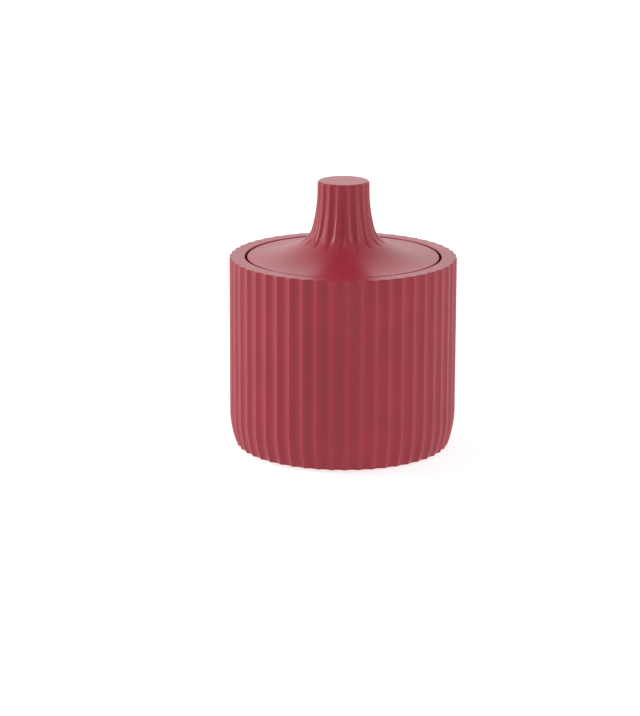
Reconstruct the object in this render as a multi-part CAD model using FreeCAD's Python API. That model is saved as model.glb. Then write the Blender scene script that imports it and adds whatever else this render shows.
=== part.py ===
# Fluted cotton pad jar: a cast pot, a drop-in lid with a trumpet-shaped knob, and soft foot pads.
# Millimetres. +Z is up and -Y is the front. The origin is on the table, under the middle of the pot.
import FreeCAD
import Part
import math
import os

# Pot
POT_RADIUS = 50.0  # over the ridges between the flutes
POT_HEIGHT = 84.4  # flat base to rim
BASE_CURVE_RADIUS = 45.0  # rounding of the wall towards the base
BASE_CURVE_SWEEP = 20.0  # degrees of that rounding before it meets the flat base
BASE_EDGE_RADIUS = 0.7
RIM_WIDTH = 6.8  # from the ridges to the mouth
RIM_EDGE_RADIUS = 0.5
LEDGE_WIDTH = 3.0  # step inside the mouth that carries the lid
FLOOR_THICKNESS = 8.0
FLOOR_CORNER_RADIUS = 6.0

# Flutes around the pot
FLUTE_COUNT = 50
FLUTE_DEPTH = 0.9
RIDGE_WIDTH = 0.45  # land left between two flutes

# Lid
LID_CLEARANCE = 1.1  # gap around the lid, inside the mouth
LID_RECESS = 0.15  # top of the lid's edge below the rim
LID_EDGE_HEIGHT = 4.5
LID_EDGE_RADIUS = 0.4
SPIGOT_DEPTH = 3.0  # plug under the lid that drops inside the ledge
SPIGOT_CLEARANCE = 0.9
SPIGOT_EDGE_RADIUS = 1.0
LID_TURN = -3.6  # degrees that the lid lies turned on its seat

# Knob and its flare, from the top down; slopes are degrees from horizontal
KNOB_TOP_RADIUS = 11.4
KNOB_EDGE_RADIUS = 1.0
KNOB_STRAIGHT = 3.8  # upright side above the neck
NECK_RADIUS = 67.0
NECK_SLOPE = 75.0  # where the neck passes into the throat
THROAT_RADIUS = 9.9
THROAT_SLOPE = 30.0  # where the throat passes into the skirt
SKIRT_SLOPE = 1.5  # at the lid's edge

# Flutes around the knob
KNOB_FLUTE_COUNT = 18
KNOB_FLUTE_DEPTH = 0.65
KNOB_RIDGE_WIDTH = 0.5
KNOB_FLUTE_END_RADIUS = 9.1  # bend of a flute's floor where it rises out of the throat

# Foot pads
FOOT_COUNT = 4
FOOT_RADIUS = 5.0
FOOT_HEIGHT = 2.0
FOOT_PROUD = 1.0  # part of a pad that shows below the base
FOOT_EDGE_RADIUS = 0.4
FOOT_INSET = 6.5  # from the edge of the flat base to a pad
FOOT_CLEARANCE = 0.15  # gap around a pad in its pocket

# Room that a cutting tool needs past the faces it opens
TOOL_OVERRUN = 3.0

# Sizes that follow from the ones above
BASE_Z = FOOT_PROUD
RIM_Z = BASE_Z + POT_HEIGHT
FLOOR_Z = BASE_Z + FLOOR_THICKNESS
MOUTH_RADIUS = POT_RADIUS - RIM_WIDTH
WELL_RADIUS = MOUTH_RADIUS - LEDGE_WIDTH
LEDGE_Z = RIM_Z - LID_RECESS - LID_EDGE_HEIGHT
LID_RADIUS = MOUTH_RADIUS - LID_CLEARANCE
SPIGOT_RADIUS = WELL_RADIUS - SPIGOT_CLEARANCE


def sine(degrees):
    return math.sin(math.radians(degrees))


def cosine(degrees):
    return math.cos(math.radians(degrees))


class Outline:
    """A chain of lines and tangent arcs in the upright plane through the axis.

    A point is (distance from the axis, height). The heading is in degrees: 0 points away from the
    axis, 90 points up.
    """

    def __init__(self, r, z, heading):
        self.first = self.here = FreeCAD.Vector(r, 0, z)
        self.first_heading = self.heading = heading
        self.edges = []

    def line_to(self, r, z):
        there = FreeCAD.Vector(r, 0, z)
        self.edges.append(Part.makeLine(self.here, there))
        self.heading = math.degrees(math.atan2(z - self.here.z, r - self.here.x))
        self.here = there

    def ahead(self, length):
        step = self.direction(self.heading) * length
        self.line_to(self.here.x + step.x, self.here.z + step.z)

    def turn(self, radius, degrees):
        """An arc that leaves along the heading; positive degrees turn anticlockwise."""
        side = 90 if degrees > 0 else -90
        centre = self.here + self.direction(self.heading + side) * radius
        middle = centre + self.direction(self.heading + degrees / 2 - side) * radius
        there = centre + self.direction(self.heading + degrees - side) * radius
        self.edges.append(Part.Arc(self.here, middle, there).toShape())
        self.here = there
        self.heading += degrees

    def direction(self, degrees):
        return FreeCAD.Vector(cosine(degrees), 0, sine(degrees))

    def spine(self):
        """The open chain as a path to sweep along.

        Its arcs become splines, because a bar with exact torus faces misses some of its cuts.
        """
        edges = [e.toNurbs().Edges[0] if isinstance(e.Curve, Part.Circle) else e for e in self.edges]
        return Part.Wire(edges)

    def revolved(self):
        """The solid inside the closed chain, turned about the axis."""
        self.line_to(self.first.x, self.first.z)
        face = Part.Face(Part.Wire(self.edges))
        return face.revolve(FreeCAD.Vector(), FreeCAD.Vector(0, 0, 1), 360)


def around_axis(shape, degrees):
    turned = shape.copy()
    turned.rotate(FreeCAD.Vector(), FreeCAD.Vector(0, 0, 1), degrees)
    return turned


def flute_tool_radius(width, depth):
    """Radius of a round tool that cuts a flute of this width and depth."""
    return (width**2 / 4 + depth**2) / (2 * depth)


def flute_tool(path, radius):
    """A round bar swept along a path, with its seam on the side away from the solid."""
    section = Part.Circle(path.first, path.direction(path.first_heading), radius)
    section.XAxis = path.direction(path.first_heading + 90)
    return path.spine().makePipeShell([Part.Wire(section.toShape())], True, False)


def flutes_cut(solid, tool, count, first):
    """The solid with its flutes cut. first is the first flute's place, in degrees from +X."""
    tools = [around_axis(tool, first + k * 360 / count) for k in range(count)]
    return solid.cut(tools[0::2]).cut(tools[1::2])


def pot_blank():
    """The pot before its flutes are cut."""
    pot = Outline(0, BASE_Z, 0)
    pot.line_to(base_flat_radius(), BASE_Z)
    pot.turn(BASE_EDGE_RADIUS, 90 - BASE_CURVE_SWEEP)
    pot.turn(BASE_CURVE_RADIUS, BASE_CURVE_SWEEP)
    pot.line_to(POT_RADIUS, RIM_Z - RIM_EDGE_RADIUS)
    pot.turn(RIM_EDGE_RADIUS, 90)
    pot.line_to(MOUTH_RADIUS + RIM_EDGE_RADIUS, RIM_Z)
    pot.turn(RIM_EDGE_RADIUS, 90)
    pot.line_to(MOUTH_RADIUS, LEDGE_Z)
    pot.line_to(WELL_RADIUS + RIM_EDGE_RADIUS, LEDGE_Z)
    pot.turn(RIM_EDGE_RADIUS, 90)
    pot.line_to(WELL_RADIUS, FLOOR_Z + FLOOR_CORNER_RADIUS)
    pot.turn(FLOOR_CORNER_RADIUS, -90)
    pot.line_to(0, FLOOR_Z)
    return pot.revolved()


def base_flat_radius():
    """Radius of the flat underside, where its rounded edge starts."""
    curve_inset = BASE_CURVE_RADIUS * (1 - cosine(BASE_CURVE_SWEEP))
    edge_inset = BASE_EDGE_RADIUS * cosine(BASE_CURVE_SWEEP)
    return POT_RADIUS - curve_inset - edge_inset


def pot_flute_tool():
    """A bar that follows the wall and its base curve, sunk by the flute's depth."""
    pitch = 2 * math.pi * POT_RADIUS / FLUTE_COUNT
    radius = flute_tool_radius(pitch - RIDGE_WIDTH, FLUTE_DEPTH)
    offset = radius - FLUTE_DEPTH
    edge_height = BASE_EDGE_RADIUS * (1 - sine(BASE_CURVE_SWEEP))
    curve_top = BASE_Z + edge_height + BASE_CURVE_RADIUS * sine(BASE_CURVE_SWEEP)
    path = Outline(POT_RADIUS + offset, RIM_Z + TOOL_OVERRUN, 270)
    path.line_to(POT_RADIUS + offset, curve_top)
    path.turn(BASE_CURVE_RADIUS + offset, -BASE_CURVE_SWEEP)
    path.ahead(BASE_EDGE_RADIUS + radius)
    return flute_tool(path, radius)


def foot_places():
    """Centre of each foot pad on the table."""
    circle = base_flat_radius() - FOOT_INSET - FOOT_RADIUS
    angles = [45 + k * 360 / FOOT_COUNT for k in range(FOOT_COUNT)]
    return [FreeCAD.Vector(circle * cosine(a), circle * sine(a), 0) for a in angles]


def foot_pad(place):
    pad = Part.makeCylinder(FOOT_RADIUS, FOOT_HEIGHT, place)
    lower_edge = [e for e in pad.Edges if e.BoundBox.ZMax < FOOT_EDGE_RADIUS]
    return pad.makeFillet(FOOT_EDGE_RADIUS, lower_edge)


def pot():
    pockets = [
        Part.makeCylinder(FOOT_RADIUS + FOOT_CLEARANCE, FOOT_HEIGHT, place) for place in foot_places()
    ]
    first_flute = -90 + 180 / FLUTE_COUNT  # a ridge faces the front
    return flutes_cut(pot_blank(), pot_flute_tool(), FLUTE_COUNT, first_flute).cut(pockets)


def skirt_radius():
    """Radius of the arc that fills the lid's top between the throat and the lid's edge."""
    neck_reach = NECK_RADIUS * (1 - sine(NECK_SLOPE))
    throat_reach = THROAT_RADIUS * (sine(NECK_SLOPE) - sine(THROAT_SLOPE))
    edge_reach = LID_RADIUS - LID_EDGE_RADIUS * (1 - sine(SKIRT_SLOPE))
    skirt_reach = edge_reach - KNOB_TOP_RADIUS - neck_reach - throat_reach
    return skirt_reach / (sine(THROAT_SLOPE) - sine(SKIRT_SLOPE))


def lid_blank():
    """The lid and knob, one casting, before the knob's flutes are cut."""
    lid = Outline(0, LEDGE_Z - SPIGOT_DEPTH, 0)
    lid.line_to(SPIGOT_RADIUS - SPIGOT_EDGE_RADIUS, LEDGE_Z - SPIGOT_DEPTH)
    lid.turn(SPIGOT_EDGE_RADIUS, 90)
    lid.line_to(SPIGOT_RADIUS, LEDGE_Z)
    lid.line_to(LID_RADIUS, LEDGE_Z)
    lid.line_to(LID_RADIUS, LEDGE_Z + LID_EDGE_HEIGHT - LID_EDGE_RADIUS)
    lid.turn(LID_EDGE_RADIUS, 90 - SKIRT_SLOPE)
    lid.turn(skirt_radius(), SKIRT_SLOPE - THROAT_SLOPE)
    lid.turn(THROAT_RADIUS, THROAT_SLOPE - NECK_SLOPE)
    lid.turn(NECK_RADIUS, NECK_SLOPE - 90)
    lid.ahead(KNOB_STRAIGHT - KNOB_EDGE_RADIUS)
    lid.turn(KNOB_EDGE_RADIUS, 90)
    lid.line_to(0, lid.here.z)
    return lid.revolved()


def neck_top():
    """Height where the knob's upright side passes into the neck."""
    edge_rise = LID_EDGE_HEIGHT - LID_EDGE_RADIUS * (1 - cosine(SKIRT_SLOPE))
    skirt_rise = skirt_radius() * (cosine(SKIRT_SLOPE) - cosine(THROAT_SLOPE))
    throat_rise = THROAT_RADIUS * (cosine(THROAT_SLOPE) - cosine(NECK_SLOPE))
    neck_rise = NECK_RADIUS * cosine(NECK_SLOPE)
    return LEDGE_Z + edge_rise + skirt_rise + throat_rise + neck_rise


def knob_flute_tool():
    """A bar that follows the knob's side and neck, then rises out of the throat."""
    pitch = 2 * math.pi * KNOB_TOP_RADIUS / KNOB_FLUTE_COUNT
    radius = flute_tool_radius(pitch - KNOB_RIDGE_WIDTH, KNOB_FLUTE_DEPTH)
    offset = radius - KNOB_FLUTE_DEPTH
    path = Outline(KNOB_TOP_RADIUS + offset, neck_top() + KNOB_STRAIGHT + TOOL_OVERRUN, 270)
    path.line_to(KNOB_TOP_RADIUS + offset, neck_top())
    path.turn(NECK_RADIUS - offset, 90 - NECK_SLOPE)
    path.turn(KNOB_FLUTE_END_RADIUS - radius, NECK_SLOPE)
    path.ahead(TOOL_OVERRUN)
    return flute_tool(path, radius)


def lid():
    first_flute = -90 + LID_TURN  # a flute faces nearly to the front
    return flutes_cut(lid_blank(), knob_flute_tool(), KNOB_FLUTE_COUNT, first_flute)


def main():
    os.makedirs("parts", exist_ok=True)
    nodes = {"pot": pot(), "lid": lid()}
    for number, place in enumerate(foot_places(), start=1):
        nodes[f"foot_pad_{number}"] = foot_pad(place)
    for name, shape in nodes.items():
        shape.exportStep(f"parts/{name}.step")
        print(f"{name}: {len(shape.Solids)} solid, valid {shape.isValid()}, {shape.Volume / 1000:.2f} cm3")


main()
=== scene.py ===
import math

import bpy
from bpy.props import FloatProperty, FloatVectorProperty, IntProperty, PointerProperty
from mathutils import Matrix, Vector


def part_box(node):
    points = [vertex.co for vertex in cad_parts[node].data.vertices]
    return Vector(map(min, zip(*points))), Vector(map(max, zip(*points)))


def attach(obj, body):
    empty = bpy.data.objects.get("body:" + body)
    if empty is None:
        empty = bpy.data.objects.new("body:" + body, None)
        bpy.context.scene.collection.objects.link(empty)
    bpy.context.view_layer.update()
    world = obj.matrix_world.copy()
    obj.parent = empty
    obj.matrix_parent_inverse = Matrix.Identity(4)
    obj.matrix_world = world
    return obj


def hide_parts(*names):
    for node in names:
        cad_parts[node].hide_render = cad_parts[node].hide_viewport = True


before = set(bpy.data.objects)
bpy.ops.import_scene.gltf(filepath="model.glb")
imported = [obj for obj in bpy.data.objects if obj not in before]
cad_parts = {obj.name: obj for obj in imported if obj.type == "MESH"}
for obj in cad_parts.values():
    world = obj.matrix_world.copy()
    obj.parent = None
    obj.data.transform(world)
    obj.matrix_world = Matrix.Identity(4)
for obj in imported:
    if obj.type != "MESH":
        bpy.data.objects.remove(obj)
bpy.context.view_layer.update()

bl_info = {
    "name": "Fluted Cotton Pad Jar",
    "version": (1, 0, 0),
    "blender": (4, 5, 0),
    "location": "View3D > Sidebar > Jar",
    "description": "Builds a cast resin cotton pad jar with a drop-in lid around its packed frame",
    "category": "Add Mesh",
}

POT_LOW, POT_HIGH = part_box("pot")
LID_LOW, LID_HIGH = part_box("lid")
FOOT_LOW, FOOT_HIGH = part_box("foot_pad_1")
FOOT_NODES = [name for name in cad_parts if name.startswith("foot_pad_")]
IMAGE_SIZE = (640, 716)  # pixels of the picture that the camera frames
RIM_PIXEL = (342.6, 255.5)  # where the middle of the rim lies in that picture
PANEL_HEIGHT = 0.5  # of the tall lamp above the floor, at one metre from the jar
PANEL_SIZE = (0.2, 1.0)  # width and height of a lamp
FILL_PLACE = Vector((0.95, -0.3, 0.5))
FILL_SIZE = (0.6, 1.0)
BACK_PLACE = Vector((0, 1.3, 0.75))
BACK_SIZE = (2.4, 1.2)


def length(name, description, default):
    """A size in metres."""
    return FloatProperty(
        name=name, description=description, default=default, subtype="DISTANCE", unit="LENGTH", precision=5
    )


def angle(name, description, degrees):
    """An angle, written in degrees."""
    return FloatProperty(name=name, description=description, default=math.radians(degrees), subtype="ANGLE")


def amount(name, description, default):
    """A plain number."""
    return FloatProperty(name=name, description=description, default=default)


def colour(name, description, default):
    """A colour, in linear light."""
    return FloatVectorProperty(
        name=name, description=description, default=default, subtype="COLOR", size=3, min=0, max=1
    )


class PotSizes(bpy.types.PropertyGroup):
    """Sizes of the fluted pot."""

    radius: length("Radius", "Over the ridges between the flutes", POT_HIGH.y)
    base_height: length("Base height", "Flat base above the table", POT_LOW.z)
    rim_height: length("Rim height", "Rim above the table", POT_HIGH.z)
    base_curve: length("Base curve", "Radius of the wall's rounding towards the base", 0.045)
    base_sweep: angle("Base sweep", "Part of a circle that this rounding covers", 20)
    base_edge: length("Base edge", "Radius of a ridge's end at the flat base", 0.0007)
    rim_width: length("Rim width", "From the ridges to the mouth", 0.0068)
    edge: length("Edge", "Radius of the rim's edges", 0.0005)
    ledge_width: length("Ledge width", "Step inside the mouth that carries the lid", 0.003)
    ledge_depth: length("Ledge depth", "From the rim down to the ledge", 0.00465)
    floor_height: length("Floor height", "Inside floor above the table", 0.009)
    floor_corner: length("Floor corner", "Radius between the well's wall and floor", 0.006)
    flute_count: IntProperty(name="Flutes", description="Flutes around the wall", default=50)
    flute_depth: length("Flute depth", "Deepest point of a flute below the ridges", 0.0009)
    ridge_width: length("Ridge width", "Land left between two flutes", 0.00045)


class LidSizes(bpy.types.PropertyGroup):
    """Sizes of the lid and its knob."""

    bottom: length("Bottom", "Underside of the plug above the table", LID_LOW.z)
    top: length("Top", "Top of the knob above the table", LID_HIGH.z)
    radius: length("Radius", "Of the lid's disc", 0.0421)
    plug_radius: length("Plug radius", "Of the plug that drops inside the ledge", 0.0393)
    plug_depth: length("Plug depth", "Of the plug below the lid's seat", 0.003)
    plug_edge: length("Plug edge", "Radius of the plug's edge", 0.001)
    rim_height: length("Edge height", "Of the disc's edge", 0.0045)
    rim_edge: length("Edge radius", "Of the disc's upper edge", 0.0004)
    skirt_slope: angle("Skirt slope", "Of the lid's top at its edge", 1.5)
    throat_slope: angle("Throat slope", "Where the skirt passes into the throat", 30)
    throat: length("Throat", "Radius of the flare's tightest bend", 0.0099)
    neck_slope: angle("Neck slope", "Where the throat passes into the neck", 75)
    neck: length("Neck", "Radius of the long bend up to the knob", 0.067)
    knob_radius: length("Knob radius", "At its top, over the ridges", 0.0114)
    knob_edge: length("Knob edge", "Radius of the knob's upper edge", 0.001)
    flute_count: IntProperty(name="Flutes", description="Flutes around the knob", default=18)
    flute_depth: length("Flute depth", "Deepest point of a flute below the ridges", 0.00065)
    ridge_width: length("Ridge width", "Land left between two flutes at the top", 0.0005)
    flute_end: length("Flute end", "Bend of a flute's floor where it rises out of the throat", 0.0091)
    turn: angle("Turn", "Of the lid on its seat", -3.6)


class FootSizes(bpy.types.PropertyGroup):
    """Sizes of the soft foot pads."""

    radius: length("Radius", "Of one pad", (FOOT_HIGH.x - FOOT_LOW.x) / 2)
    height: length("Height", "Of one pad", FOOT_HIGH.z)
    edge: length("Edge", "Radius of a pad's lower edge", 0.0004)
    circle: length("Circle", "From the jar's axis to a pad", math.hypot(*((FOOT_LOW + FOOT_HIGH) / 2).xy))
    count: IntProperty(name="Pads", description="Pads under the base", default=len(FOOT_NODES))


class Finish(bpy.types.PropertyGroup):
    """Colours and sheen of the surfaces."""

    # Deep and light resin also carry painted shade: the flutes are drawn towards the deep colour and the
    # ridges towards the light one; only the clouds are the resin's own tone.
    resin_deep: colour("Deep resin", "Resin in the flutes and darker clouds", (0.262, 0.011, 0.025))
    resin_light: colour("Light resin", "Resin on the ridges and paler clouds", (0.393, 0.022, 0.042))
    resin_roughness: amount("Resin roughness", "Satin sheen of the cast resin", 0.35)
    specular: amount("Specular", "Strength of the mirrored light", 0.41)
    ground_resin: colour("Ground resin", "Resin where the base is ground flat", (0.46, 0.10, 0.12))
    foot: colour("Foot", "Soft foot pads", (0.50, 0.48, 0.45))
    floor: colour("Floor", "Floor under the jar", (0.45, 0.45, 0.45))


class StageSettings(bpy.types.PropertyGroup):
    """Camera and light."""

    distance: length("Distance", "From the camera to the middle of the rim", 1.3)
    elevation: angle("Elevation", "Of the camera above the rim", 12.77)
    turn: angle("Turn", "Of the camera round the jar, to the left of the front", 1.6)
    roll: angle("Roll", "Of the camera, so that the jar leans to the right", 0.2)
    focal_pixels: amount("Focal length in pixels", "Of the camera, in pixels of the picture", 2958.0)
    zenith: amount("Zenith", "Light from straight above", 0.75)
    horizon: amount("Horizon", "Light from all sides at the height of the floor", 0.63)
    floor_glow: amount("Floor glow", "Light that the floor adds to the lower wall", 0.68)
    floor_white: amount("Floor white", "Added to the floor where it is seen or mirrored", 0.05)
    panel_power: FloatProperty(name="Panel", description="Tall lamp at the left", default=7.6, unit="POWER")
    panel_turn: angle("Panel turn", "Of the tall lamp round the jar, to the left of the front", 95)
    fill_power: FloatProperty(name="Fill", description="Broad lamp at the right", default=3.4, unit="POWER")
    back_power: FloatProperty(name="Back", description="Wide lamp behind the jar", default=4.8, unit="POWER")


GROUPS = {
    "jar_pot": PotSizes,
    "jar_lid": LidSizes,
    "jar_feet": FootSizes,
    "jar_finish": Finish,
    "jar_stage": StageSettings,
}


class Wire:
    """A socket of a node tree. Arithmetic on it adds Math nodes, and node() adds any other node."""

    def __init__(self, tree, socket=None):
        self.tree = tree
        self.socket = socket

    def node(self, kind, settings=None, inputs=None, out=0):
        """Adds any node: its settings first, then the values or links of its sockets."""
        node = self.tree.nodes.new(kind)
        for name, value in (settings or {}).items():
            setattr(node, name, value)
        for key, value in (inputs or {}).items():
            if isinstance(value, Wire):
                self.tree.links.new(value.socket, node.inputs[key])
            else:
                node.inputs[key].default_value = value
        return Wire(self.tree, node.outputs[out] if node.outputs else None)

    def pick(self, name):
        """Another output of the same node."""
        return Wire(self.tree, self.socket.node.outputs[name])

    def math(self, operation, *values):
        return self.node("ShaderNodeMath", {"operation": operation}, dict(enumerate(values)))

    def xyz(self):
        """A vector's parts, as outputs X, Y and Z."""
        return self.node("ShaderNodeSeparateXYZ", inputs={0: self})

    def mix(self, factor, first, second):
        """A colour between two others."""
        settings = {"data_type": "RGBA", "clamp_factor": True}
        return self.node("ShaderNodeMix", settings, {0: factor, 6: first, 7: second}, out=2)

    def __add__(self, other):
        return self.math("ADD", self, other)

    def __radd__(self, other):
        return self.math("ADD", other, self)

    def __sub__(self, other):
        return self.math("SUBTRACT", self, other)

    def __rsub__(self, other):
        return self.math("SUBTRACT", other, self)

    def __mul__(self, other):
        return self.math("MULTIPLY", self, other)

    def __rmul__(self, other):
        return self.math("MULTIPLY", other, self)

    def __truediv__(self, other):
        return self.math("DIVIDE", self, other)


class Outline:
    """A lathe outline of (distance from the axis, height) points along lines and tangent arcs.

    It is walked with the solid on the left. The heading is in radians: 0 points away from the axis.
    """

    def __init__(self, r, z):
        self.points = [Vector((r, z))]
        self.heading = 0.0

    def line(self, r, z, steps):
        """A straight run whose points crowd towards both ends, which keeps the shading of edges tight."""
        start = self.points[-1]
        end = Vector((r, z))
        for k in range(1, steps + 1):
            t = k / steps
            self.points.append(start.lerp(end, t * t * (3 - 2 * t)))
        self.heading = math.atan2(end.y - start.y, end.x - start.x)

    def turn(self, radius, sweep, steps):
        """An arc that leaves along the heading; a positive sweep turns left."""
        side = math.copysign(math.pi / 2, sweep)
        centre = self.points[-1] + radius * heading_vector(self.heading + side)
        for k in range(1, steps + 1):
            self.points.append(centre + radius * heading_vector(self.heading + sweep * k / steps - side))
        self.heading += sweep
        return centre


def heading_vector(heading):
    """The step of length one along a heading."""
    return Vector((math.cos(heading), math.sin(heading)))


def flute_tool_radius(radius, count, ridge_width, depth):
    """Radius of the round tool that cuts flutes of this depth and leaves ridges of this width."""
    width = 2 * math.pi * radius / count - ridge_width
    return (width**2 / 4 + depth**2) / (2 * depth)


def pot_outline(pot, sunk):
    """The pot's outline along a ridge, or with sunk, along the floor of a flute."""
    sweep = pot.base_sweep
    corner = math.pi / 2 - sweep
    edge = pot.base_edge
    curve_start = Vector((
        pot.radius - pot.base_curve * (1 - math.cos(sweep)),
        pot.base_height + edge * (1 - math.sin(sweep)),
    ))
    mouth = pot.radius - pot.rim_width
    well = mouth - pot.ledge_width
    ledge = pot.rim_height - pot.ledge_depth
    outer_edge = pot.edge / 2 if sunk else pot.edge
    outline = Outline(0, pot.base_height)
    if sunk:
        curve_start += sunk * heading_vector(math.pi - sweep)
        run = (curve_start.y - pot.base_height) / math.cos(sweep)
        tip = pot.edge * math.tan(corner / 2)
        outline.line(curve_start.x - run * math.sin(sweep) - tip, pot.base_height, 8)
        outline.turn(pot.edge, corner, 4)
        outline.line(curve_start.x, curve_start.y, 4)
    else:
        outline.line(curve_start.x - edge * math.cos(sweep), pot.base_height, 8)
        outline.turn(edge, corner, 8)
    outline.heading = corner
    outline.turn(pot.base_curve - sunk, sweep, 14)
    outline.line(pot.radius - sunk, pot.rim_height - outer_edge, 16)
    outline.turn(outer_edge, math.pi / 2, 5)
    outline.line(mouth + pot.edge, pot.rim_height, 8)
    outline.turn(pot.edge, math.pi / 2, 5)
    outline.line(mouth, ledge + pot.edge, 4)
    outline.turn(pot.edge, -math.pi / 2, 3)
    outline.line(well + pot.edge, ledge, 4)
    outline.turn(pot.edge, math.pi / 2, 4)
    outline.line(well, pot.floor_height + pot.floor_corner, 8)
    outline.turn(pot.floor_corner, -math.pi / 2, 8)
    outline.line(0, pot.floor_height, 8)
    return outline.points


def lid_outline(lid, sunk):
    """The lid's outline along a ridge of the knob, or with sunk, along the floor of a flute."""
    seat = lid.bottom + lid.plug_depth
    throat_reach = lid.throat * (math.sin(lid.neck_slope) - math.sin(lid.throat_slope))
    knob_reach = lid.knob_radius + lid.neck * (1 - math.sin(lid.neck_slope)) + throat_reach
    skirt_reach = lid.radius - lid.rim_edge * (1 - math.sin(lid.skirt_slope)) - knob_reach
    skirt = skirt_reach / (math.sin(lid.throat_slope) - math.sin(lid.skirt_slope))
    corner = lid.rim_edge / 2
    outline = Outline(0, lid.bottom)
    outline.line(lid.plug_radius - lid.plug_edge, lid.bottom, 6)
    outline.turn(lid.plug_edge, math.pi / 2, 5)
    outline.line(lid.plug_radius, seat - corner, 3)
    outline.turn(corner, -math.pi / 2, 3)
    outline.line(lid.radius - corner, seat, 4)
    outline.turn(corner, math.pi / 2, 4)
    outline.line(lid.radius, seat + lid.rim_height - lid.rim_edge, 4)
    outline.turn(lid.rim_edge, math.pi / 2 - lid.skirt_slope, 6)
    before_skirt = len(outline.points)
    outline.turn(skirt, lid.skirt_slope - lid.throat_slope, 34)
    throat_centre = outline.turn(lid.throat, lid.throat_slope - lid.neck_slope, 24)
    if sunk:
        into = (outline.points[-1] - throat_centre).normalized()
        floor_centre = (lid.throat + sunk - lid.flute_end) * into
        for k in range(before_skirt, len(outline.points)):
            reach = outline.points[k] - throat_centre
            ahead = floor_centre.dot(reach.normalized())
            floor = ahead + math.sqrt(lid.flute_end**2 - floor_centre.length_squared + ahead**2)
            if floor > reach.length:
                outline.points[k] = throat_centre + floor * reach.normalized()
    outline.turn(lid.neck + sunk, lid.neck_slope - math.pi / 2, 14)
    upper_edge = lid.knob_edge / 4 if sunk else lid.knob_edge
    outline.line(lid.knob_radius - sunk, lid.top - upper_edge, 4)
    outline.turn(upper_edge, math.pi / 2, 8)
    outline.line(0, lid.top, 6)
    return outline.points


def foot_outline(foot):
    """The outline of one pad about its own axis."""
    outline = Outline(0, 0)
    outline.line(foot.radius - foot.edge, 0, 5)
    outline.turn(foot.edge, math.pi / 2, 6)
    outline.line(foot.radius, foot.height, 3)
    outline.line(0, foot.height, 3)
    return outline.points


def outline_mesh(name, crest, valley):
    """A chain of the ridge's points that also carries how far, and which way, a flute sinks at each."""
    mesh = bpy.data.meshes.new(name)
    chain = [(k, k + 1) for k in range(len(crest) - 1)]
    mesh.from_pydata([(p.x, 0, p.y) for p in crest], chain, [])
    steps = [low - high for high, low in zip(crest, valley)]
    reach = mesh.attributes.new("reach", "FLOAT", "POINT")
    reach.data.foreach_set("value", [step.length for step in steps])
    inward = mesh.attributes.new("inward", "FLOAT_VECTOR", "POINT")
    units = [step.normalized() for step in steps]
    inward.data.foreach_set("vector", [x for unit in units for x in (unit.x, 0, unit.y)])
    return mesh


def new_tree(name, inputs):
    """A geometry tree with named inputs after its geometry. Returns it with its first wire."""
    tree = bpy.data.node_groups.new(name, "GeometryNodeTree")
    tree.interface.new_socket("Geometry", in_out="INPUT", socket_type="NodeSocketGeometry")
    tree.interface.new_socket("Geometry", in_out="OUTPUT", socket_type="NodeSocketGeometry")
    for label, socket_type in inputs.items():
        tree.interface.new_socket(label, in_out="INPUT", socket_type=socket_type)
    return tree, Wire(tree).node("NodeGroupInput")


def end_tree(start, shape):
    """Realizes what the tree made and gives it the material input."""
    realized = start.node("GeometryNodeRealizeInstances", inputs={0: shape})
    dressed = start.node(
        "GeometryNodeSetMaterial", inputs={"Geometry": realized, "Material": start.pick("Material")}
    )
    start.node("NodeGroupOutput", inputs={0: dressed})


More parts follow.
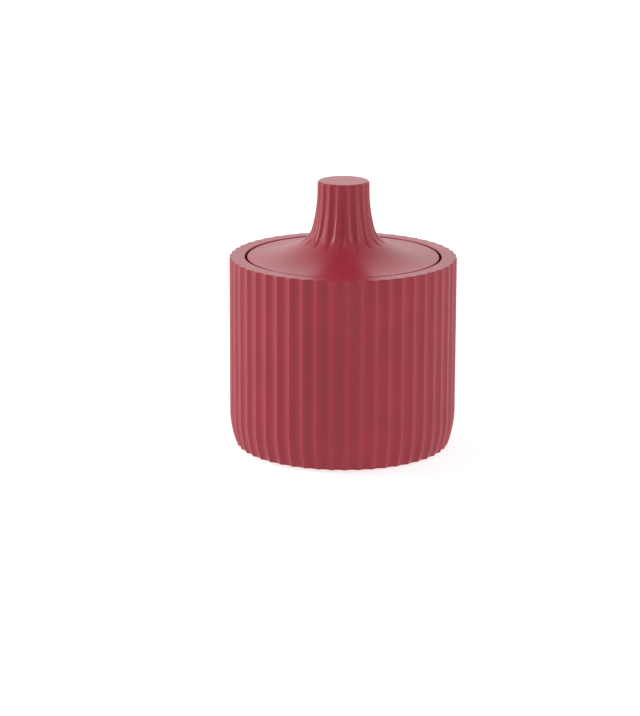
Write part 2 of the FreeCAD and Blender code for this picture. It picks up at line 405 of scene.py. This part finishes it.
def fluted_lathe_tree():
    """Turns an outline about the axis and sinks round flutes into it.

    A flute is cut by a round tool: at a sideways distance u from its middle it is as deep as the
    outline's reach there, less the rise of the tool's circle at u.
    """
    tree, start = new_tree("Fluted Lathe", {
        "Flutes": "NodeSocketInt",
        "Points per Flute": "NodeSocketInt",
        "Tool Radius": "NodeSocketFloat",
        "Soft Ridge": "NodeSocketFloat",
        "Crowding": "NodeSocketFloat",
        "First Ridge": "NodeSocketFloat",
        "Material": "NodeSocketMaterial",
    })
    outline = start.pick("Geometry")
    flutes = start.pick("Flutes")
    around = flutes * start.pick("Points per Flute")
    counts = start.node("GeometryNodeAttributeDomainSize", {"component": "MESH"}, {0: outline})
    rows = counts.pick("Point Count")
    tube = start.node(
        "GeometryNodeMeshCylinder",
        {"fill_type": "NONE"},
        {"Vertices": around, "Side Segments": rows - 1},
        out="Mesh",
    )
    index = start.node("GeometryNodeInputIndex")
    row = (index / around).math("FLOOR", index / around)
    place = (index - row * around) / start.pick("Points per Flute")
    flute = place.math("FLOOR", place)
    even = place - flute
    full_turn = 2 * math.pi
    swing = even.math("SINE", even * full_turn) / full_turn
    within = even - start.pick("Crowding") * swing
    turn = (flute + within) / flutes * full_turn + start.pick("First Ridge")

    def sampled(data_type, field):
        settings = {"data_type": data_type, "domain": "POINT"}
        return start.node("GeometryNodeSampleIndex", settings, {0: outline, "Value": field, "Index": row})

    def attribute(data_type, name):
        return start.node("GeometryNodeInputNamedAttribute", {"data_type": data_type}, {"Name": name})

    ridge = sampled("FLOAT_VECTOR", start.node("GeometryNodeInputPosition")).xyz()
    inward = sampled("FLOAT_VECTOR", attribute("FLOAT_VECTOR", "inward")).xyz()
    reach = sampled("FLOAT", attribute("FLOAT", "reach"))
    tool = start.pick("Tool Radius")
    sideways = (within - 0.5) * full_turn / flutes * ridge.pick("X")
    rise = tool - tool.math("SQRT", tool * tool - sideways * sideways)
    cut = reach.math("SMOOTH_MAX", reach - rise, 0.0, reach * start.pick("Soft Ridge"))
    radius = ridge.pick("X") + inward.pick("X") * cut
    height = ridge.pick("Z") + inward.pick("Z") * cut
    position = start.node(
        "ShaderNodeCombineXYZ",
        inputs={"X": radius * turn.math("COSINE", turn), "Y": radius * turn.math("SINE", turn), "Z": height},
    )
    turned = start.node("GeometryNodeSetPosition", inputs={"Geometry": tube, "Position": position})
    marked = start.node(
        "GeometryNodeStoreNamedAttribute",
        {"data_type": "FLOAT", "domain": "POINT"},
        {"Geometry": turned, "Name": "sunk", "Value": cut},
    )
    closed = start.node("GeometryNodeMergeByDistance", inputs={"Geometry": marked, "Distance": 1e-6})
    outward = start.node("GeometryNodeFlipFaces", inputs={"Mesh": closed})
    end_tree(start, start.node("GeometryNodeSetShadeSmooth", inputs={"Geometry": outward}))
    return tree


def ring_tree():
    """Sets copies of a mesh on a circle about the axis."""
    tree, start = new_tree("Ring of Copies", {
        "Copies": "NodeSocketInt",
        "Circle": "NodeSocketFloat",
        "Turn": "NodeSocketVector",
        "Material": "NodeSocketMaterial",
    })
    ring = start.node(
        "GeometryNodeMeshCircle",
        {"fill_type": "NONE"},
        {"Vertices": start.pick("Copies"), "Radius": start.pick("Circle")},
    )
    turned = start.node("GeometryNodeTransform", inputs={"Geometry": ring, "Rotation": start.pick("Turn")})
    copies = start.node(
        "GeometryNodeInstanceOnPoints", inputs={"Points": turned, "Instance": start.pick("Geometry")}
    )
    end_tree(start, copies)
    return tree


def made_by(tree, mesh, values):
    """The mesh that a geometry tree makes of another, as a plain mesh."""
    source = bpy.data.objects.new(mesh.name, mesh)
    bpy.context.scene.collection.objects.link(source)
    modifier = source.modifiers.new(tree.name, "NODES")
    modifier.node_group = tree
    sockets = {item.name: item.identifier for item in tree.interface.items_tree if item.in_out == "INPUT"}
    for label, value in values.items():
        modifier[sockets[label]] = value
    graph = bpy.context.evaluated_depsgraph_get()
    made = bpy.data.meshes.new_from_object(source.evaluated_get(graph), depsgraph=graph)
    bpy.data.objects.remove(source)
    return made


def piece(name, mesh, body, nodes):
    """A finished piece that rides on a body and stands for CAD nodes."""
    mesh.name = name
    made = bpy.data.objects.new(name, mesh)
    bpy.context.scene.collection.objects.link(made)
    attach(made, body)
    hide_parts(*nodes)
    return made


def new_material(name):
    """An empty node material with its first wire."""
    material = bpy.data.materials.new(name)
    material.use_nodes = True
    material.node_tree.nodes.clear()
    return material, Wire(material.node_tree)


def noise(start, coordinates, size, detail=2.0):
    """A noise from 0 to 1 with features of about this size in metres."""
    return start.node(
        "ShaderNodeTexNoise", inputs={"Vector": coordinates, "Scale": 1 / size, "Detail": detail}
    )


def end_material(start, base, roughness, specular, height, depth):
    """A plain surface of varying colour, roughness and fine relief."""
    bump = start.node("ShaderNodeBump", inputs={"Strength": 1.0, "Distance": depth, "Height": height})
    surface = start.node("ShaderNodeBsdfPrincipled", inputs={
        "Base Color": base,
        "Roughness": roughness,
        "Specular IOR Level": specular,
        "Normal": bump,
    })
    start.node("ShaderNodeOutputMaterial", inputs={"Surface": surface})


def rgba(value):
    """A colour with full alpha."""
    return (*value, 1.0)


def cast_resin(finish, pot):
    """Satin cast resin: clouded pigment, painted shade that darkens the flutes and leaves the ridges paler,
    fine grain, and a base that is ground flat.
    """
    material, start = new_material("cast_resin")
    place = start.node("ShaderNodeTexCoord", out="Object")
    cloud = noise(start, place, 0.018, 3.0)
    grain = noise(start, place, 0.0012, 1.0)
    powder = noise(start, place, 0.0004, 0.0)
    sunk = start.node("ShaderNodeAttribute", {"attribute_name": "sunk"}, out="Fac") / pot.flute_depth
    # Painted shade: the deeper a point sits in a flute, the darker its colour. The cloud and powder terms are
    # the resin's own uneven tone.
    shade = 0.62 + (cloud - 0.5) * 0.7 + (powder - 0.5) * 0.15 - sunk * 0.35
    pigment_and_flute_shade = start.mix(shade, rgba(finish.resin_deep), rgba(finish.resin_light))
    height = place.xyz().pick("Z")
    ground = height.math("LESS_THAN", height, pot.base_height + pot.edge / 5)
    base = start.mix(ground, pigment_and_flute_shade, rgba(finish.ground_resin))
    roughness = finish.resin_roughness + (cloud - 0.5) * 0.1 + (grain - 0.5) * 0.1 + ground * 0.25
    end_material(start, base, roughness, finish.specular, grain * 0.8 + powder * 0.2, 0.00001)
    return material


def soft_foot(finish):
    """Soft foot pads: a dull, faintly speckled rubber skin."""
    material, start = new_material("soft_foot")
    place = start.node("ShaderNodeTexCoord", out="Object")
    cloud = noise(start, place, 0.003, 3.0)
    grain = noise(start, place, 0.0002)
    base = start.mix(cloud, rgba(finish.foot), rgba([0.8 * x for x in finish.foot]))
    end_material(start, base, 0.7 + (grain - 0.5) * 0.2, finish.specular, grain, 0.00002)
    return material


def pale_floor(finish, stage):
    """A pale floor that keeps the jar's shadow, is white where it is seen, and is clear from below."""
    material, start = new_material("pale_floor")
    seen = start.node("ShaderNodeLightPath", out="Is Camera Ray")
    seen = seen + seen.pick("Is Glossy Ray") + seen.pick("Is Transmission Ray")
    surface = start.node("ShaderNodeBsdfDiffuse", inputs={"Color": rgba(finish.floor)})
    light = start.node("ShaderNodeEmission", inputs={"Strength": seen * stage.floor_white + stage.floor_glow})
    both = start.node("ShaderNodeAddShader", inputs={0: surface, 1: light})
    below = start.node("ShaderNodeNewGeometry", out="Backfacing")
    clear = start.node("ShaderNodeBsdfTransparent")
    one_sided = start.node("ShaderNodeMixShader", inputs={0: below, 1: both, 2: clear})
    start.node("ShaderNodeOutputMaterial", inputs={"Surface": one_sided})
    return material


class JAR_OT_pot(bpy.types.Operator):
    """Builds the fluted pot"""

    bl_idname = "jar.pot"
    bl_label = "Pot"

    def execute(self, context):
        pot = context.scene.jar_pot
        mesh = outline_mesh("pot_outline", pot_outline(pot, 0), pot_outline(pot, pot.flute_depth))
        made = made_by(fluted_lathe_tree(), mesh, {
            "Flutes": pot.flute_count,
            "Points per Flute": 14,
            "Tool Radius": flute_tool_radius(pot.radius, pot.flute_count, pot.ridge_width, pot.flute_depth),
            "Soft Ridge": 0.6,
            "Crowding": 0.4,
            "First Ridge": -math.pi / 2,
            "Material": cast_resin(context.scene.jar_finish, pot),
        })
        piece("fluted_pot", made, "pot", ["pot"])
        return {"FINISHED"}


class JAR_OT_lid(bpy.types.Operator):
    """Builds the lid with its fluted knob"""

    bl_idname = "jar.lid"
    bl_label = "Lid"

    def execute(self, context):
        lid = context.scene.jar_lid
        mesh = outline_mesh("lid_outline", lid_outline(lid, 0), lid_outline(lid, lid.flute_depth))
        made = made_by(fluted_lathe_tree(), mesh, {
            "Flutes": lid.flute_count,
            "Points per Flute": 28,
            "Tool Radius": flute_tool_radius(
                lid.knob_radius, lid.flute_count, lid.ridge_width, lid.flute_depth
            ),
            "Soft Ridge": 0.5,
            "Crowding": 0.0,
            "First Ridge": -math.pi / 2 + math.pi / lid.flute_count + lid.turn,
            "Material": cast_resin(context.scene.jar_finish, context.scene.jar_pot),
        })
        piece("lid_with_knob", made, "lid", ["lid"])
        return {"FINISHED"}


class JAR_OT_foot_pads(bpy.types.Operator):
    """Builds the soft pads under the base"""

    bl_idname = "jar.foot_pads"
    bl_label = "Foot Pads"

    def execute(self, context):
        foot = context.scene.jar_feet
        material = soft_foot(context.scene.jar_finish)
        points = foot_outline(foot)
        pad = made_by(fluted_lathe_tree(), outline_mesh("foot_outline", points, points), {
            "Flutes": 12,
            "Points per Flute": 4,
            "Tool Radius": foot.radius,
            "Soft Ridge": 0.0,
            "Crowding": 0.0,
            "First Ridge": 0.0,
            "Material": material,
        })
        made = made_by(ring_tree(), pad, {
            "Copies": foot.count,
            "Circle": foot.circle,
            "Turn": (0, 0, math.pi / 4),
            "Material": material,
        })
        piece("foot_pads", made, "pot", FOOT_NODES)
        return {"FINISHED"}


class JAR_OT_stage(bpy.types.Operator):
    """Builds the floor, the light and the camera"""

    bl_idname = "jar.stage"
    bl_label = "Stage"

    def execute(self, context):
        stage = context.scene.jar_stage
        rim = Vector((0, 0, context.scene.jar_pot.rim_height))
        self.floor(context)
        self.surround(context.scene, stage)
        left = Vector((-math.sin(stage.panel_turn), -math.cos(stage.panel_turn), PANEL_HEIGHT))
        self.lamp("panel", left, PANEL_SIZE, stage.panel_power, rim / 2)
        self.lamp("fill", FILL_PLACE, FILL_SIZE, stage.fill_power, rim / 2)
        self.lamp("back", BACK_PLACE, BACK_SIZE, stage.back_power, rim)
        self.camera(context.scene, stage, rim)
        context.scene.view_settings.view_transform = "Standard"
        return {"FINISHED"}

    def floor(self, context):
        """A wide floor with no visible edge."""
        half = 6.0
        low = -0.0001
        corners = [(-half, -half, low), (half, -half, low), (half, half, low), (-half, half, low)]
        mesh = bpy.data.meshes.new("floor")
        mesh.from_pydata(corners, [], [(0, 1, 2, 3)])
        mesh.materials.append(pale_floor(context.scene.jar_finish, context.scene.jar_stage))
        floor = bpy.data.objects.new("floor", mesh)
        context.scene.collection.objects.link(floor)

    def surround(self, scene, stage):
        """White where it is seen or mirrored, and a softer light on everything else."""
        world = bpy.data.worlds.new("surround")
        world.use_nodes = True
        world.node_tree.nodes.clear()
        start = Wire(world.node_tree)
        seen = start.node("ShaderNodeLightPath", out="Is Camera Ray")
        seen = seen + seen.pick("Is Glossy Ray") + seen.pick("Is Transmission Ray")
        upward = start.node("ShaderNodeTexCoord", out="Generated").xyz().pick("Z")
        sky = stage.horizon - upward * (stage.horizon - stage.zenith)
        strength = seen * (1 - sky) + sky
        light = start.node("ShaderNodeBackground", inputs={"Strength": strength})
        start.node("ShaderNodeOutputWorld", inputs={"Surface": light})
        scene.world = world

    def lamp(self, name, place, size, power, target):
        """A flat lamp of this width and height that faces the target."""
        light = bpy.data.lights.new(name, "AREA")
        light.shape = "RECTANGLE"
        light.size, light.size_y = size
        light.energy = power
        lamp = bpy.data.objects.new(name, light)
        lamp.location = place
        lamp.rotation_euler = (target - place).to_track_quat("-Z", "Y").to_euler()
        bpy.context.scene.collection.objects.link(lamp)

    def camera(self, scene, stage, rim):
        """Looks at the rim from the picture's height, with the rim's middle at its pixel."""
        lens = bpy.data.cameras.new("camera")
        lens.sensor_width = 36.0
        lens.lens = stage.focal_pixels * lens.sensor_width / max(IMAGE_SIZE)
        back = Vector((
            -math.sin(stage.turn) * math.cos(stage.elevation),
            -math.cos(stage.turn) * math.cos(stage.elevation),
            math.sin(stage.elevation),
        ))
        aim = (-back).to_track_quat("-Z", "Y").to_matrix()
        right_pixels = RIM_PIXEL[0] - IMAGE_SIZE[0] / 2
        up_pixels = IMAGE_SIZE[1] / 2 - RIM_PIXEL[1]
        towards = aim @ Vector((-right_pixels, -up_pixels, -stage.focal_pixels))
        look = towards.to_track_quat("-Z", "Y").to_matrix() @ Matrix.Rotation(stage.roll, 3, "Z")
        camera = bpy.data.objects.new("camera", lens)
        camera.matrix_world = Matrix.Translation(rim + back * stage.distance) @ look.to_4x4()
        scene.collection.objects.link(camera)
        scene.camera = camera


class JAR_PT_panel(bpy.types.Panel):
    """Lists the jar's builders and their sizes."""

    bl_idname = "JAR_PT_panel"
    bl_label = "Cotton Pad Jar"
    bl_space_type = "VIEW_3D"
    bl_region_type = "UI"
    bl_category = "Jar"

    def draw(self, context):
        for operator in OPERATORS:
            self.layout.operator(operator.bl_idname)
        for name, group in GROUPS.items():
            box = self.layout.box()
            box.label(text=group.__doc__)
            for size in group.__annotations__:
                box.prop(getattr(context.scene, name), size)


OPERATORS = (JAR_OT_pot, JAR_OT_lid, JAR_OT_foot_pads, JAR_OT_stage)
CLASSES = (*GROUPS.values(), *OPERATORS, JAR_PT_panel)


def register():
    for cls in CLASSES:
        bpy.utils.register_class(cls)
    for name, group in GROUPS.items():
        setattr(bpy.types.Scene, name, PointerProperty(type=group))


def unregister():
    for name in GROUPS:
        delattr(bpy.types.Scene, name)
    for cls in reversed(CLASSES):
        bpy.utils.unregister_class(cls)


def main():
    register()
    bpy.ops.jar.pot()
    bpy.ops.jar.lid()
    bpy.ops.jar.foot_pads()
    bpy.ops.jar.stage()


if __name__ == "__main__":
    main()
